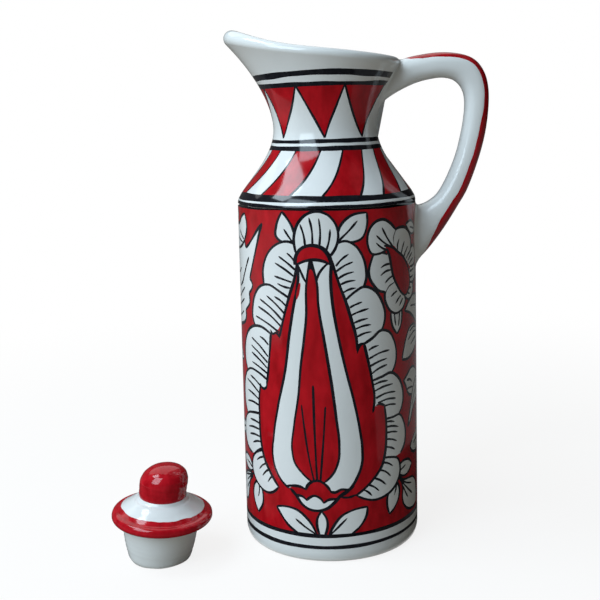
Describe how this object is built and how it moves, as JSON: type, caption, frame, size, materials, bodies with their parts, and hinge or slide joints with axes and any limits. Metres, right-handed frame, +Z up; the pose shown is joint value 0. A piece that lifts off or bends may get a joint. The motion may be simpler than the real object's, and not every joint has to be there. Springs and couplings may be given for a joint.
{
  "type": "oil dispenser",
  "caption": "Tall glazed ceramic oil dispenser with a pulled pouring lip, a strap handle and a loose ceramic stopper that stands beside it.",
  "frame": {"origin": "centre of the jug's flat base, on the axis that the jug was turned about", "axes": "+Z up along the jug's axis, +X towards the handle, so the pouring lip points along -X, and +Y away from the painted front"},
  "size_m": [0.1873, 0.1045, 0.2536],
  "materials": {
    "white_glaze": "clear gloss glaze over a pale cool-white body, with hand-painted red and black underglaze",
    "red_glaze": "brushed crimson colour under clear gloss glaze, uneven from stroke to stroke"
  },
  "bodies": {
    "jug": {"jug_body": "white_glaze", "handle": "white_glaze"},
    "stopper": {"stopper_plug": "white_glaze", "stopper_knob": "red_glaze"}
  },
  "joints": [
    {"name": "stopper_lift", "type": "slide", "parent": "jug", "child": "stopper", "axis": [0, 0, 1], "range_m": [0, 0.26]}
  ]
}
